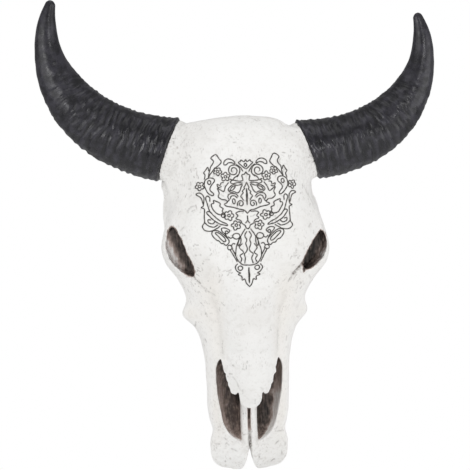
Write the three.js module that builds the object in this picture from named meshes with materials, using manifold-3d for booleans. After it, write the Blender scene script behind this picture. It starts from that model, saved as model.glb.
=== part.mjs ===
// Wall decoration cast as a life-size cattle skull, with two black horns and a keyhole hanger.
// Millimetres. +Z is up, the wall is the plane y = 0 and the face looks along -Y.
// The origin lies on the flat back, on the midline, at the height of the eye sockets.
import * as THREE from "three";
import { mergeVertices } from "three/addons/utils/BufferGeometryUtils.js";
import Module from "manifold-3d";

const wasm = await Module();
wasm.setup();

// Driving dimensions of the skull. Depths are measured from the wall towards the viewer.
const POLL_Z = 182; // top of the head
const MUZZLE_Z = -302; // tips of the upper jaw
const FACE_STEPS = 32; // facets from one edge of a cross-section to the other, over the face
const SIDE_STEPS = 6; // facets down each side of a cross-section
const BACK_STEPS = 3; // facets across the back
const TOUCH_GAP = 0.3; // between pieces that touch

// Heights at which the cross-sections lie: [from, to, number of steps].
const SECTION_SPANS = [
  [POLL_Z, 170, 6],
  [170, 43, 13],
  [43, -40, 13],
  [-40, -112, 11],
  [-112, -260, 13],
  [-260, MUZZLE_Z, 9],
];

// Profiles of the head along its height, as [height, size].
// Half the width of the outline, seen from the front.
const halfWidth = profile([
  [POLL_Z, 12], [180, 34], [177, 56], [174, 74], [168, 86], [136, 96], [108, 93], [82, 90.5], [64, 97],
  [46, 104], [8, 110], [-14, 104.5], [-36, 91], [-60, 81.5], [-84, 76], [-104, 68.5], [-128, 61.5],
  [-150, 58.5], [-180, 57], [-212, 56], [-232, 53.5], [-246, 50.5], [-264, 54], [-281, 53], [-291, 49],
  [-298, 40], [MUZZLE_Z, 24],
]);
// Depth at which the outline is widest.
const edgeDepth = profile([
  [POLL_Z, 84], [168, 76], [99, 64], [60, 58], [8, 60], [-44, 56], [-84, 44], [-145, 42], [-240, 33],
  [MUZZLE_Z, 28],
]);
// Depth of the ridge on the midline.
const crestDepth = profile([
  [POLL_Z, 92], [176, 103], [160, 115], [120, 126], [60, 134], [8, 136], [-44, 130], [-100, 120],
  [-135, 112], [-180, 88], [-215, 72], [-240, 62], [-264, 54], [-284, 46], [-295, 38], [MUZZLE_Z, 31],
]);
// Half the width of the flat back.
const backWidth = profile([
  [POLL_Z, 8], [176, 48], [168, 70], [136, 80], [74, 70], [8, 78], [-84, 64], [-145, 49], [-240, 38],
  [-264, 41], [-284, 37], [-296, 29], [MUZZLE_Z, 16],
]);
// Depth of the back: on the wall, except at the nape and where the jaw's tip leaves the wall.
const backDepth = profile([
  [POLL_Z, 70], [179, 48], [172, 20], [158, 0], [-165, 0], [-240, 9], [-280, 15], [MUZZLE_Z, 22],
]);
// Roundness of the face across the head: 2 is an ellipse, more is flatter with squarer shoulders.
const facePower = profile([
  [POLL_Z, 2.4], [136, 3.8], [40, 4.4], [0, 4.4], [-44, 2.9], [-84, 2.1], [-140, 2.1], [-240, 2.4],
  [MUZZLE_Z, 2.4],
]);
const shoulderPower = profile([
  [POLL_Z, 2], [136, 1.7], [0, 1.5], [-84, 1.55], [-140, 1.9], [MUZZLE_Z, 2.2],
]);
// How the side runs from the edge to the back: 1 is straight, more is hollow, less is bulged.
const sidePower = profile([
  [POLL_Z, 1], [99, 1.3], [74, 2.4], [45, 2], [8, 0.9], [-44, 1], [-84, 1.6], [-140, 0.8], [MUZZLE_Z, 0.6],
]);

// Eye sockets: egg-shaped hollows that look sideways and forwards, each in a raised rim.
// outward is sideways, towards the viewer and up. lean is how far the long side leans in towards the muzzle.
const LEFT_SOCKET = {
  x: 78.4, depth: 95, z: 3.8, outward: [0.95, 0.65, -0.15], lean: 41.6, reach: 32.3, tall: 37.6, wide: 22.6,
};
const RIGHT_SOCKET = {
  x: 76, depth: 90.7, z: 0.4, outward: [0.66, 0.67, -0.02], lean: 52, reach: 39, tall: 33.8, wide: 22,
};

// Swellings on each side. Each has its place and reach across, in depth and in height, and its push outwards.
// The casting isn't quite even, and sides has the shares of a push on its left and on its right.
const SWELLINGS = {
  eyeRim: { at: [103, 84, -2], reach: [30, 44, 40], push: [4, 2, 0], sides: [1.3, 1.5] },
  lowerRim: { at: [98, 76, -30], reach: [30, 44, 30], push: [5, 0, 0], sides: [0, 1] },
  temple: { at: [92, 48, 92], reach: [40, 26, 24], push: [15, 0, 0], sides: [1, 0.1] },
  hornFlare: { at: [104, 62, 122], reach: [34, 40, 34], push: [6, 0, 0] },
  cheekKnob: { at: [76, 44, -85], reach: [34, 24, 14], push: [9, 3, 0], sides: [1.3, 1] },
  pollDip: { at: [68, 88, 176], reach: [16, 60, 20], push: [0, 0, -10], sides: [0, 1] },
  cheekArch: { at: [84, 34, 62], reach: [40, 13, 45], push: [28, 0, 0], sides: [1, 0.9] },
};

// Stub of the skull under each horn: a cone that widens to the horn's seat.
const STUB = { inner: 40, outer: 41.5, long: 46, sides: 28 };

// Nose: the free plate of the nasal bones, as half its width and its depth along the height.
const nasalHalf = profile([
  [-110, 41], [-126, 40.5], [-147, 38], [-162, 34.5], [-178, 30.5], [-188, 27], [-192.5, 24], [-194.5, 16],
  [-203, 14.2], [-208, 11.5], [-211, 7], [-212.5, 3],
]);
const nasalDepth = profile([
  [-110, 116.5], [-126, 113.4], [-147, 109.3], [-180, 100], [-196, 95], [-212.5, 90],
]);
const NASAL = { from: -110, to: -212.5, steps: 21, thick: 9, arch: 0.0118, across: 8 };
// The two troughs below the plate, as the outer edge and the floor along the height.
const troughHalf = profile([
  [-132, 31], [-140, 35], [-150, 43], [-160, 45], [-185, 44], [-210, 40.5], [-235, 35.5], [-248, 29],
  [-256, 21], [-261, 13],
]);
const troughFloor = profile([
  [-132, 66], [-150, 46], [-170, 33], [-190, 27], [-225, 24], [-245, 29], [-261, 46],
]);
const TROUGH = { from: -132, to: -261, steps: 17, across: 8, front: 150 };
const SEPTUM_HALF = 11; // half the width of the bar between the troughs
const septumTop = profile([[-190, 66], [-206, 55], [-236, 49], [-268, 52]]);
const SLIT = { half: 1.2, from: -206, to: -246, depth: 38 };
// Notch between the two jaw tips.
const NOTCH = { top: -267, half: 9.5, turn: -285 };

// Horns. Each starts on its seat and its heading turns from start to end, in degrees above the horizontal.
const HORN = {
  depth: 60, turning: 1.3, faceTilt: 21, settle: 60, flat: 0.92, sweep: 26, round: 6, steps: 46, sides: 18,
  rings: 12, ringHeight: 1.3, ringedShare: 0.72,
};
// slant is how much further out the seat lies for each millimetre towards the viewer.
const LEFT_HORN = { side: -1, x: 98.2, z: 140, slant: 0.12, length: 292, start: 9, end: 111.3, girth: 1.025 };
const RIGHT_HORN = { side: 1, x: 88.8, z: 135.8, slant: 0, length: 280, start: 2, end: 112.8, girth: 0.968 };
// Radius along a horn, by the share of its length that is left to the tip.
const hornTaper = profile([
  [1, 43.9], [0.845, 41.4], [0.69, 38.8], [0.537, 34.2], [0.382, 26.7], [0.228, 17.7], [0.125, 13.1],
  [0.053, 8.8], [0.02, 6.8], [0, 6],
]);
const FACE_TILT = THREE.MathUtils.degToRad(HORN.faceTilt);
const SEAT_CUT = { long: 104, out: 60, deep: 170 }; // the block that leaves each horn's flat seat

// Hanger: a steel keyhole plate let into the back, over a pocket for the screw's head.
const HANGER = { z: 96, long: 60, high: 36, thick: 1.6, sunk: 2.2, hole: 5.5, slot: 3, drop: 3, rise: 11 };
const POCKET = { half: 11, room: 7, deep: 14 }; // room above and below the screw's path

const BONE = new THREE.MeshStandardMaterial({ color: 0xeceae6, roughness: 0.75, metalness: 0 });
const BLACK = new THREE.MeshStandardMaterial({ color: 0x25242a, roughness: 0.45, metalness: 0 });
const STEEL = new THREE.MeshStandardMaterial({ color: 0x9a9a98, roughness: 0.4, metalness: 1 });

// Smooth curve through [at, value] pairs in falling order of at, with no overshoot between them.
function profile(points) {
  const at = points.map((p) => -p[0]);
  const value = points.map((p) => p[1]);
  const last = at.length - 1;
  const rise = at.slice(1).map((a, i) => (value[i + 1] - value[i]) / (a - at[i]));
  const slope = at.map((_, i) => {
    if (i === 0 || i === last) return 0;
    const [before, after] = [rise[i - 1], rise[i]];
    return before * after <= 0 ? 0 : (2 * before * after) / (before + after);
  });
  return (z) => {
    const a = THREE.MathUtils.clamp(-z, at[0], at[last]);
    const i = Math.min(last - 1, Math.max(0, at.findIndex((v) => v > a) - 1));
    const k = a >= at[last] ? last - 1 : i;
    const width = at[k + 1] - at[k];
    const t = (a - at[k]) / width;
    const [t2, t3] = [t * t, t * t * t];
    return (2 * t3 - 3 * t2 + 1) * value[k] + (t3 - 2 * t2 + t) * width * slope[k]
      + (3 * t2 - 2 * t3) * value[k + 1] + (t3 - t2) * width * slope[k + 1];
  };
}

// A point from its place across, its depth from the wall and its height.
const point = (x, depth, z) => new THREE.Vector3(x, -depth, z);

// Closed skin over rings of points, each end closed by a fan round its middle.
function loft(rings) {
  const sides = rings[0].length;
  const points = rings.flat();
  const faces = [];
  for (let r = 0; r + 1 < rings.length; r++) {
    for (let i = 0; i < sides; i++) {
      const [a, b] = [r * sides + i, r * sides + ((i + 1) % sides)];
      faces.push(a, b, b + sides, a, b + sides, a + sides);
    }
  }
  const middle = (ring) => ring.reduce((sum, p) => sum.add(p), new THREE.Vector3()).divideScalar(sides);
  const start = points.push(middle(rings[0])) - 1;
  const end = points.push(middle(rings[rings.length - 1])) - 1;
  const lastRing = (rings.length - 1) * sides;
  for (let i = 0; i < sides; i++) {
    const j = (i + 1) % sides;
    faces.push(start, j, i, end, lastRing + i, lastRing + j);
  }
  const geometry = new THREE.BufferGeometry().setFromPoints(points);
  geometry.setIndex(volume(points, faces) < 0 ? faces.reverse() : faces);
  return geometry;
}

function volume(points, faces) {
  let sum = 0;
  const cross = new THREE.Vector3();
  for (let i = 0; i < faces.length; i += 3) {
    sum += points[faces[i]].dot(cross.crossVectors(points[faces[i + 1]], points[faces[i + 2]]));
  }
  return sum / 6;
}

function solid(geometry) {
  const bare = new THREE.BufferGeometry();
  bare.setAttribute("position", geometry.getAttribute("position"));
  if (geometry.index) bare.setIndex(geometry.index);
  const merged = mergeVertices(bare, 1e-4);
  return new wasm.Manifold(new wasm.Mesh({
    numProp: 3,
    vertProperties: merged.attributes.position.array,
    triVerts: new Uint32Array(merged.index.array),
  }));
}

function largestSurface(made) {
  return made.decompose().sort((a, b) => b.volume() - a.volume())[0];
}

function geometryOf(made) {
  const { vertProperties, triVerts, numProp } = made.getMesh();
  if (numProp !== 3) throw new Error("a solid carries more than positions");
  const geometry = new THREE.BufferGeometry();
  geometry.setAttribute("position", new THREE.BufferAttribute(vertProperties, 3));
  geometry.setIndex(new THREE.BufferAttribute(triVerts, 1));
  return geometry;
}

const steps = (from, to, count) =>
  Array.from({ length: count + 1 }, (_, i) => from + ((to - from) * i) / count);

// One axis frame for the eye socket on a side: outward, along its long side, and across.
function socketFrame(side, sizes) {
  const [out, forward, up] = sizes.outward;
  const outward = point(side * out, forward, up).normalize();
  const lean = THREE.MathUtils.degToRad(sizes.lean);
  const upright = new THREE.Vector3(side * Math.sin(lean), 0, Math.cos(lean));
  const long = upright.addScaledVector(outward, -upright.dot(outward)).normalize();
  const across = new THREE.Vector3().crossVectors(long, outward);
  const centre = point(side * sizes.x, sizes.depth, sizes.z);
  return { centre, outward, long, across };
}

// Moves a point of the surface by the swellings of its own side.
function swell(p) {
  const side = Math.sign(p.x);
  const moved = p.clone();
  for (const { at, reach, push, sides = [1, 1] } of Object.values(SWELLINGS)) {
    const off = [side * p.x - at[0], -p.y - at[1], p.z - at[2]].map((d, i) => d / reach[i]);
    const share = sides[side > 0 ? 1 : 0] * Math.exp(-off.reduce((sum, d) => sum + d * d, 0));
    moved.add(point(side * push[0], push[1], push[2]).multiplyScalar(share));
  }
  return moved;
}

// Cross-section of the head at one height, from the right edge over the face and round the back.
function headSection(z) {
  const [half, edge, crest] = [halfWidth(z), edgeDepth(z), crestDepth(z)];
  const [back, rest] = [backWidth(z), backDepth(z)];
  const [across, over] = [2 / facePower(z), 2 / shoulderPower(z)];
  const face = steps(0, Math.PI, 60).map((t) => {
    const c = Math.cos(t);
    const x = half * Math.sign(c) * Math.abs(c) ** across;
    return point(x, edge + (crest - edge) * Math.max(0, Math.sin(t)) ** over, z);
  });
  const ring = new THREE.CatmullRomCurve3(face).getSpacedPoints(FACE_STEPS);
  const down = steps(1, 0, SIDE_STEPS).slice(1);
  const sideAt = (u) => back + (half - back) * u ** sidePower(z);
  for (const u of down) ring.push(point(-sideAt(u), rest + (edge - rest) * u, z));
  for (const u of steps(-1, 1, BACK_STEPS).slice(1, -1)) ring.push(point(u * back, rest, z));
  for (const u of down.reverse()) ring.push(point(sideAt(u), rest + (edge - rest) * u, z));
  return ring;
}

function headBlank() {
  const heights = SECTION_SPANS.flatMap(([from, to, count], i) => steps(from, to, count).slice(i ? 1 : 0));
  return solid(loft(heights.map((z) => headSection(z).map(swell))));
}

function socket(side) {
  const sizes = side < 0 ? LEFT_SOCKET : RIGHT_SOCKET;
  const { centre, outward, long, across } = socketFrame(side, sizes);
  const egg = new THREE.SphereGeometry(1, 20, 14);
  const axes = new THREE.Matrix4().makeBasis(
    across.multiplyScalar(sizes.wide),
    long.multiplyScalar(sizes.tall),
    outward.multiplyScalar(sizes.reach),
  );
  return solid(egg.applyMatrix4(axes.setPosition(centre)));
}

function hornStub({ side, x, z, slant, girth }) {
  const rings = [[STUB.inner, STUB.long], [STUB.outer, 0]].map(([radius, inside]) => {
    const [back, down] = [inside * Math.cos(FACE_TILT), inside * Math.sin(FACE_TILT)];
    return hornRing(side, x - back, HORN.depth, z - down, FACE_TILT, girth * radius, STUB.sides, slant);
  });
  return solid(loft(rings));
}

// The nasal bones: an arched plate whose lower end is free and notched.
function nasalPlate() {
  const rings = steps(NASAL.from, NASAL.to, NASAL.steps).map((z) => {
    const [half, top] = [nasalHalf(z), nasalDepth(z)];
    const outer = steps(half, -half, NASAL.across).map((x) => point(x, top - NASAL.arch * x * x, z));
    const inner = outer.map((p) => point(p.x * 0.96, -p.y - NASAL.thick, z)).reverse();
    return [...outer, ...inner];
  });
  return solid(loft(rings));
}

// One nose trough: open to the front, with a round floor.
function noseTrough(side) {
  const rings = steps(TROUGH.from, TROUGH.to, TROUGH.steps).map((z) => {
    const half = (troughHalf(z) - SEPTUM_HALF) / 2;
    const [middle, floor] = [SEPTUM_HALF + half, troughFloor(z)];
    const bed = steps(0, Math.PI, TROUGH.across).map((t) =>
      point(side * (middle + half * Math.cos(t)), floor + half * (1 - Math.sin(t)), z));
    const mouth = [-1, 1].map((end) => point(side * (middle + end * half), TROUGH.front, z));
    return [...bed, ...mouth];
  });
  return solid(loft(rings));
}

// Trims the bar between the troughs below the tip of the nasal bones.
function septumTrim() {
  const rings = steps(-190, -268, 8).map((z) => {
    const [half, top] = [SEPTUM_HALF + 1, septumTop(z)];
    const across = [half, -half, -half, half];
    return across.map((x, i) => point(x, i < 2 ? TROUGH.front : top, z));
  });
  return solid(loft(rings));
}

// Block on the midline, from one depth to another, with its middle at a height.
function block(width, high, from, to, z) {
  const box = new THREE.BoxGeometry(width, to - from, high);
  return solid(box.translate(0, -(from + to) / 2, z));
}

function septumSlit() {
  return block(2 * SLIT.half, SLIT.from - SLIT.to, SLIT.depth, 70, (SLIT.from + SLIT.to) / 2);
}

// The recess of the hanger plate, and the pocket behind it.
function hangerCuts() {
  const path = HANGER.rise + 2 * POCKET.room;
  const middle = HANGER.z - HANGER.drop + HANGER.rise / 2;
  return [
    block(HANGER.long + 2 * TOUCH_GAP, HANGER.high + 2 * TOUCH_GAP, -5, HANGER.sunk, HANGER.z),
    block(2 * POCKET.half, path, -5, POCKET.deep, middle),
  ];
}

function jawNotch() {
  const shape = new THREE.Shape();
  const below = MUZZLE_Z - 8;
  shape.moveTo(0, NOTCH.top);
  shape.quadraticCurveTo(3, NOTCH.turn, NOTCH.half, MUZZLE_Z - 1);
  shape.lineTo(NOTCH.half, below);
  shape.lineTo(-NOTCH.half, below);
  shape.lineTo(-NOTCH.half, MUZZLE_Z - 1);
  shape.quadraticCurveTo(-3, NOTCH.turn, 0, NOTCH.top);
  const wedge = new THREE.ExtrudeGeometry(shape, { depth: 200, bevelEnabled: false, curveSegments: 6 });
  return solid(wedge.rotateX(Math.PI / 2).translate(0, 50, 0));
}

// Block beyond the flat seat of a horn.
function seatCut({ side, x, z, slant }) {
  const box = new THREE.BoxGeometry(SEAT_CUT.out, SEAT_CUT.deep, SEAT_CUT.long);
  box.translate(SEAT_CUT.out / 2, 0, 0);
  box.applyMatrix4(new THREE.Matrix4().makeShear(0, 0, -side * slant, 0, 0, 0)).rotateY(-FACE_TILT);
  if (side < 0) box.rotateZ(Math.PI);
  return solid(box.translate(side * x, -HORN.depth, z));
}

function skull() {
  let made = headBlank();
  for (const horn of [LEFT_HORN, RIGHT_HORN]) {
    made = made.add(hornStub(horn)).subtract(seatCut(horn));
    made = made.subtract(socket(horn.side)).subtract(noseTrough(horn.side));
  }
  made = made.subtract(septumTrim()).subtract(septumSlit()).add(nasalPlate()).subtract(jawNotch());
  for (const cut of hangerCuts()) made = made.subtract(cut);
  return geometryOf(largestSurface(made));
}

// Horn radius at a share of its length, with a round tip and raised growth rings towards the base.
function hornRadius({ length, girth }, share) {
  const beyond = Math.max(0, 1 - ((1 - share) * length) / HORN.round);
  const plain = girth * hornTaper(1 - share) * Math.sqrt(1 - beyond * beyond);
  const ringed = Math.max(0, 1 - share / HORN.ringedShare);
  const wave = Math.abs(Math.sin((Math.PI * HORN.rings * share) / HORN.ringedShare));
  return plain - HORN.ringHeight * wave * Math.min(1, 3 * ringed);
}

// Ring of points round a horn's axis, facing up from the horizontal by an angle, with the seat's slant.
function hornRing(side, x, depth, z, face, radius, sides, slant) {
  return steps(0, 2 * Math.PI, sides).slice(1).map((turn) => {
    const across = radius * Math.cos(turn);
    const near = HORN.flat * radius * Math.sin(turn);
    const [sine, cosine, out] = [Math.sin(face), Math.cos(face), slant * near];
    return point(side * (x - across * sine + out * cosine), depth + near, z + across * cosine + out * sine);
  });
}

function horn(sizes) {
  const { side, length, start, end } = sizes;
  const heading = (share) => THREE.MathUtils.degToRad(start + (end - start) * share ** HORN.turning);
  let [x, z] = [sizes.x + TOUCH_GAP * Math.cos(FACE_TILT), sizes.z + TOUCH_GAP * Math.sin(FACE_TILT)];
  let passed = 0;
  const rings = [];
  for (const share of [...steps(0, 0.98, HORN.steps), 0.988, 0.994, 0.998]) {
    const along = heading((passed + share) / 2);
    x += (share - passed) * length * Math.cos(along);
    z += (share - passed) * length * Math.sin(along);
    passed = share;
    const settled = Math.min(1, (share * length) / HORN.settle);
    const face = heading(share) + (FACE_TILT - heading(0)) * (1 - settled);
    const depth = HORN.depth + HORN.sweep * share * share;
    const slant = sizes.slant * (1 - settled);
    rings.push(hornRing(side, x, depth, z, face, hornRadius(sizes, share), HORN.sides, slant));
  }
  return loft(rings);
}

function hangerPlate() {
  const [half, high] = [HANGER.long / 2, HANGER.high / 2];
  const plate = new THREE.Shape();
  plate.moveTo(-half, -high).lineTo(half, -high).lineTo(half, high).lineTo(-half, high).closePath();
  const lift = Math.acos(HANGER.slot / HANGER.hole);
  const keyhole = new THREE.Path();
  keyhole.absarc(0, -HANGER.drop, HANGER.hole, lift, Math.PI - lift, true);
  keyhole.absarc(0, HANGER.rise - HANGER.drop, HANGER.slot, Math.PI, 0, true);
  keyhole.closePath();
  plate.holes.push(keyhole);
  const sheet = { depth: HANGER.thick, bevelEnabled: false, curveSegments: 10 };
  const made = new THREE.ExtrudeGeometry(plate, sheet);
  return made.rotateX(Math.PI / 2).translate(0, -TOUCH_GAP, HANGER.z);
}

function node(name, geometry, material) {
  const mesh = new THREE.Mesh(geometry, material);
  mesh.name = name;
  return mesh;
}

const part = new THREE.Group();
part.add(
  node("skull", skull(), BONE),
  node("horn_left", horn(LEFT_HORN), BLACK),
  node("horn_right", horn(RIGHT_HORN), BLACK),
  node("hanger_plate", hangerPlate(), STEEL),
);

export default part;
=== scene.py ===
"""Looks of a painted cattle skull, cast in resin for a wall, built around its solids.

Shapes are worked out in millimetres as (x, depth, z).
x runs to the viewer's right, depth runs out from the wall and z runs up.
"""

import math

import bmesh
import bpy
import numpy as np
from mathutils import Matrix, Vector, kdtree, noise
from mathutils.bvhtree import BVHTree


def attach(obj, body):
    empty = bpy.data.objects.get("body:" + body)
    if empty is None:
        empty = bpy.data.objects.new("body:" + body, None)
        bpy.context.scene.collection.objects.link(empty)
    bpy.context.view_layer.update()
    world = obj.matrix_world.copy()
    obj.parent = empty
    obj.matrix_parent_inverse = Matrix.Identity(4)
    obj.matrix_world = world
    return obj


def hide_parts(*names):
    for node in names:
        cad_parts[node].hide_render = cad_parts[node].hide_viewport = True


MM = 0.001


def profile(*points):
    """Smooth curve through (height, value) pairs in falling order of height, with no overshoot."""
    at = -np.array([p[0] for p in points], float)
    value = np.array([p[1] for p in points], float)
    rise = np.diff(value) / np.diff(at)
    steady = rise[:-1] * rise[1:] > 0
    total = np.where(steady, rise[:-1] + rise[1:], 1)
    slope = np.zeros(len(at))
    slope[1:-1] = np.where(steady, 2 * rise[:-1] * rise[1:] / total, 0)

    def curve(height):
        a = np.clip(-np.asarray(height, float), at[0], at[-1])
        k = np.clip(np.searchsorted(at, a, side="right") - 1, 0, len(at) - 2)
        span = at[k + 1] - at[k]
        t = (a - at[k]) / span
        rest = 1 - t
        ends = value[k] * rest**2 * (1 + 2 * t) + value[k + 1] * t**2 * (3 - 2 * t)
        return ends + span * t * rest * (slope[k] * rest - slope[k + 1] * t)

    return curve


# Head: half width, depth of the edge and of the crest, and the back, by height
POLL_Z = 182
MUZZLE_Z = -302
half_width = profile(
    (182, 12), (180, 34), (177, 56), (174, 74), (168, 86), (136, 96), (108, 93), (82, 90.5), (64, 97),
    (46, 104), (8, 110), (-14, 104.5), (-36, 91), (-60, 81.5), (-84, 76), (-104, 68.5), (-128, 61.5),
    (-150, 58.5), (-180, 57), (-212, 56), (-232, 53.5), (-246, 50.5), (-264, 54), (-281, 53),
    (-291, 49), (-298, 40), (-302, 24),
)
edge_depth = profile(
    (182, 84), (168, 76), (99, 64), (60, 58), (8, 60), (-44, 56), (-84, 44), (-145, 42), (-240, 33),
    (-302, 28),
)
crest_depth = profile(
    (182, 92), (176, 103), (160, 115), (120, 126), (60, 134), (8, 136), (-44, 130), (-100, 120),
    (-135, 112), (-180, 88), (-215, 72), (-240, 62), (-264, 54), (-284, 46), (-295, 38), (-302, 31),
)
back_width = profile(
    (182, 8), (176, 48), (168, 70), (136, 80), (74, 70), (8, 78), (-84, 64), (-145, 49), (-240, 38),
    (-264, 41), (-284, 37), (-296, 29), (-302, 16),
)
back_depth = profile(
    (182, 70), (179, 48), (172, 20), (158, 0), (-165, 0), (-240, 9), (-280, 15), (-302, 22),
)
face_power = profile(
    (182, 2.4), (136, 3.8), (40, 4.4), (0, 4.4), (-44, 2.9), (-84, 2.1), (-140, 2.1), (-240, 2.4),
    (-302, 2.4),
)
shoulder_power = profile((182, 2), (136, 1.7), (0, 1.5), (-84, 1.55), (-140, 1.9), (-302, 2.2))
side_power = profile(
    (182, 1), (99, 1.3), (74, 2.4), (45, 2), (8, 0.9), (-44, 1), (-84, 1.6), (-140, 0.8), (-302, 0.6),
)

# Soft swellings: middle, reach, push (out, forwards, up) and its share on the left and the right
SWELLINGS = {
    "eye rim": ((103, 84, -2), (30, 44, 40), (4, 2, 0), (1.3, 1.5)),
    "lower rim": ((98, 76, -30), (30, 44, 30), (5, 0, 0), (0, 1)),
    "temple": ((92, 48, 92), (40, 26, 24), (15, 0, 0), (1, 0.1)),
    "horn flare": ((104, 62, 122), (34, 40, 34), (6, 0, 0), (1, 1)),
    "cheek knob": ((76, 44, -85), (34, 24, 14), (9, 3, 0), (1.3, 1)),
    "poll dip": ((68, 88, 176), (16, 60, 20), (0, 0, -10), (0, 1)),
    "cheek arch": ((84, 34, 62), (40, 13, 45), (28, 0, 0), (1, 0.9)),
}

# Eye sockets: an egg on each side, by its middle, outward way, lean in degrees and half sizes
LEFT_SOCKET = {"at": (78.4, 95, 3.8), "out": (0.95, 0.65, -0.15), "lean": 41.6, "half": (32.3, 37.6, 22.6)}
RIGHT_SOCKET = {"at": (76, 90.7, 0.4), "out": (0.66, 0.67, -0.02), "lean": 52, "half": (39, 33.8, 22)}
# Flat floors of the sockets, out from the wall
LEFT_FLOOR, RIGHT_FLOOR = 87, 80

# Nose: the arched plate of nasal bones, the two troughs and the bar between them
NASAL_TOP, NASAL_END = -110, -212.5
nasal_half = profile(
    (-110, 41), (-126, 40.5), (-147, 38), (-162, 34.5), (-178, 30.5), (-188, 27), (-192.5, 24),
    (-194.5, 16), (-203, 14.2), (-208, 11.5), (-211, 7), (-212.5, 3),
)
nasal_depth = profile((-110, 116.5), (-126, 113.4), (-147, 109.3), (-180, 100), (-196, 95), (-212.5, 90))
NASAL_THICK = 9
NASAL_ARCH = 0.0118
TROUGH_TOP, TROUGH_END = -132, -261
trough_half = profile(
    (-132, 31), (-140, 35), (-150, 43), (-160, 45), (-185, 44), (-210, 40.5), (-235, 35.5), (-248, 29),
    (-256, 21), (-261, 13),
)
trough_floor = profile((-132, 66), (-150, 46), (-170, 33), (-190, 27), (-225, 24), (-245, 29), (-261, 46))
SEPTUM_HALF, SEPTUM_TOP, SEPTUM_END, STRIP_CROWN = 11, -190, -268, 3.5
septum_top = profile((-190, 66), (-206, 55), (-236, 49), (-268, 52))
SLIT_TOP, SLIT_END, SLIT_FLOOR = -203, -246, 41
slit_half = profile((-203, 1.2), (-236, 1.1), (-246, 0.6))
PRONG_X, PRONG_TOP, PRONG_END, PRONG_FLOOR = 17, -182, -198, 72
prong_gap = profile((PRONG_TOP, 0.3), (-190, 1.1), (PRONG_END, 2))
NOTCH_TOP, NOTCH_TURN, NOTCH_HALF = -267, -285, 9.5
FRONT = 150

# Horns and their seats
HORN_DEPTH, HORN_FLAT, HORN_ROUND = 60, 0.92, 6
HORN_TURNING, HORN_SETTLE, HORN_SWEEP = 1.3, 60, 26
FACE_TILT = math.radians(21)
TOUCH_GAP = 0.3
LEFT_HORN = {
    "side": -1, "x": 98.2, "z": 140, "slant": 0.12, "length": 292, "start": 9, "end": 111.3, "girth": 1.025,
}
RIGHT_HORN = {
    "side": 1, "x": 88.8, "z": 135.8, "slant": 0, "length": 280, "start": 2, "end": 112.8, "girth": 0.968,
}
horn_taper = profile(
    (1, 43.9), (0.845, 41.4), (0.69, 38.8), (0.537, 34.2), (0.382, 26.7), (0.228, 17.7), (0.125, 13.1),
    (0.053, 8.8), (0.02, 6.8), (0, 6),
)
STUB_LONG, STUB_INNER, STUB_OUTER = 46, 40, 41.5
SEAT_HALF, SEAT_BACK, SEAT_FRONT, SEAT_LONG = 52, -25, 145, 60
RING_PITCH = 10.5

# Keyhole hanger in the back
HANGER_Z, RECESS_HALF, RECESS_HIGH, RECESS_DEEP = 96, 30.3, 18.3, 2.2
POCKET_Z, POCKET_HALF, POCKET_HIGH, POCKET_DEEP = 98.5, 11, 12.5, 14
SCREW_X = 22

# Fineness of the skull's mesh
GRAIN = 1.3

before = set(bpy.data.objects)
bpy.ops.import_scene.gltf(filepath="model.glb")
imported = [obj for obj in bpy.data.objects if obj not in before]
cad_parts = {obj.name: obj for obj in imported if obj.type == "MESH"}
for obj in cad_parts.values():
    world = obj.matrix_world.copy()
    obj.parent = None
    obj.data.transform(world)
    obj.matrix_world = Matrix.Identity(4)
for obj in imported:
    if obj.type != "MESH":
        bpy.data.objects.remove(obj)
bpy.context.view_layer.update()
rng = np.random.default_rng(7)


def smooth(low, high, value):
    """0 below low, 1 above high and an even ease between."""
    t = np.clip((value - low) / (high - low), 0, 1)
    return t * t * (3 - 2 * t)


def to_space(points):
    """(x, depth, z) in millimetres to metres in the shared frame."""
    return np.asarray(points, float) * (MM, -MM, MM)


def loft(rings):
    """Points and faces of a closed skin over a stack of rings, with a fan at each end."""
    rings = np.asarray(rings, float)
    count, around = rings.shape[:2]
    points = np.concatenate([rings.reshape(-1, 3), [rings[0].mean(0)], [rings[-1].mean(0)]])
    row = np.arange(count - 1)[:, None] * around
    here = np.arange(around)
    after = (here + 1) % around
    sides = np.stack([row + here, row + after, row + around + after, row + around + here], -1)
    first = count * around
    last_row = first - around
    faces = sides.reshape(-1, 4).tolist()
    faces += [[first, b, a] for a, b in zip(here.tolist(), after.tolist())]
    faces += [[first + 1, last_row + a, last_row + b] for a, b in zip(here.tolist(), after.tolist())]
    return points, faces


def make_object(name, points, faces):
    """Mesh object from points in (x, depth, z), with its faces turned outwards."""
    mesh = bpy.data.meshes.new(name)
    mesh.from_pydata(to_space(points).tolist(), [], faces)
    shape = bmesh.new()
    shape.from_mesh(mesh)
    bmesh.ops.recalc_face_normals(shape, faces=shape.faces)
    shape.to_mesh(mesh)
    shape.free()
    made = bpy.data.objects.new(name, mesh)
    bpy.context.scene.collection.objects.link(made)
    return made


def apply_modifiers(made):
    """Puts what the object's modifiers make into its mesh."""
    graph = bpy.context.evaluated_depsgraph_get()
    result = bpy.data.meshes.new_from_object(made.evaluated_get(graph))
    old = made.data
    made.modifiers.clear()
    made.data = result
    bpy.data.meshes.remove(old)


def combine(made, how, rings):
    """Adds or cuts a lofted tool into an object."""
    tool = make_object("tool", *loft(rings))
    step = made.modifiers.new("step", "BOOLEAN")
    step.operation = how
    step.solver = "MANIFOLD"
    step.object = tool
    apply_modifiers(made)
    bpy.data.objects.remove(tool)


def read_points(mesh):
    """Vertex places in (x, depth, z) millimetres."""
    flat = np.empty(len(mesh.vertices) * 3)
    mesh.vertices.foreach_get("co", flat)
    return flat.reshape(-1, 3) / (MM, -MM, MM)


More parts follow.
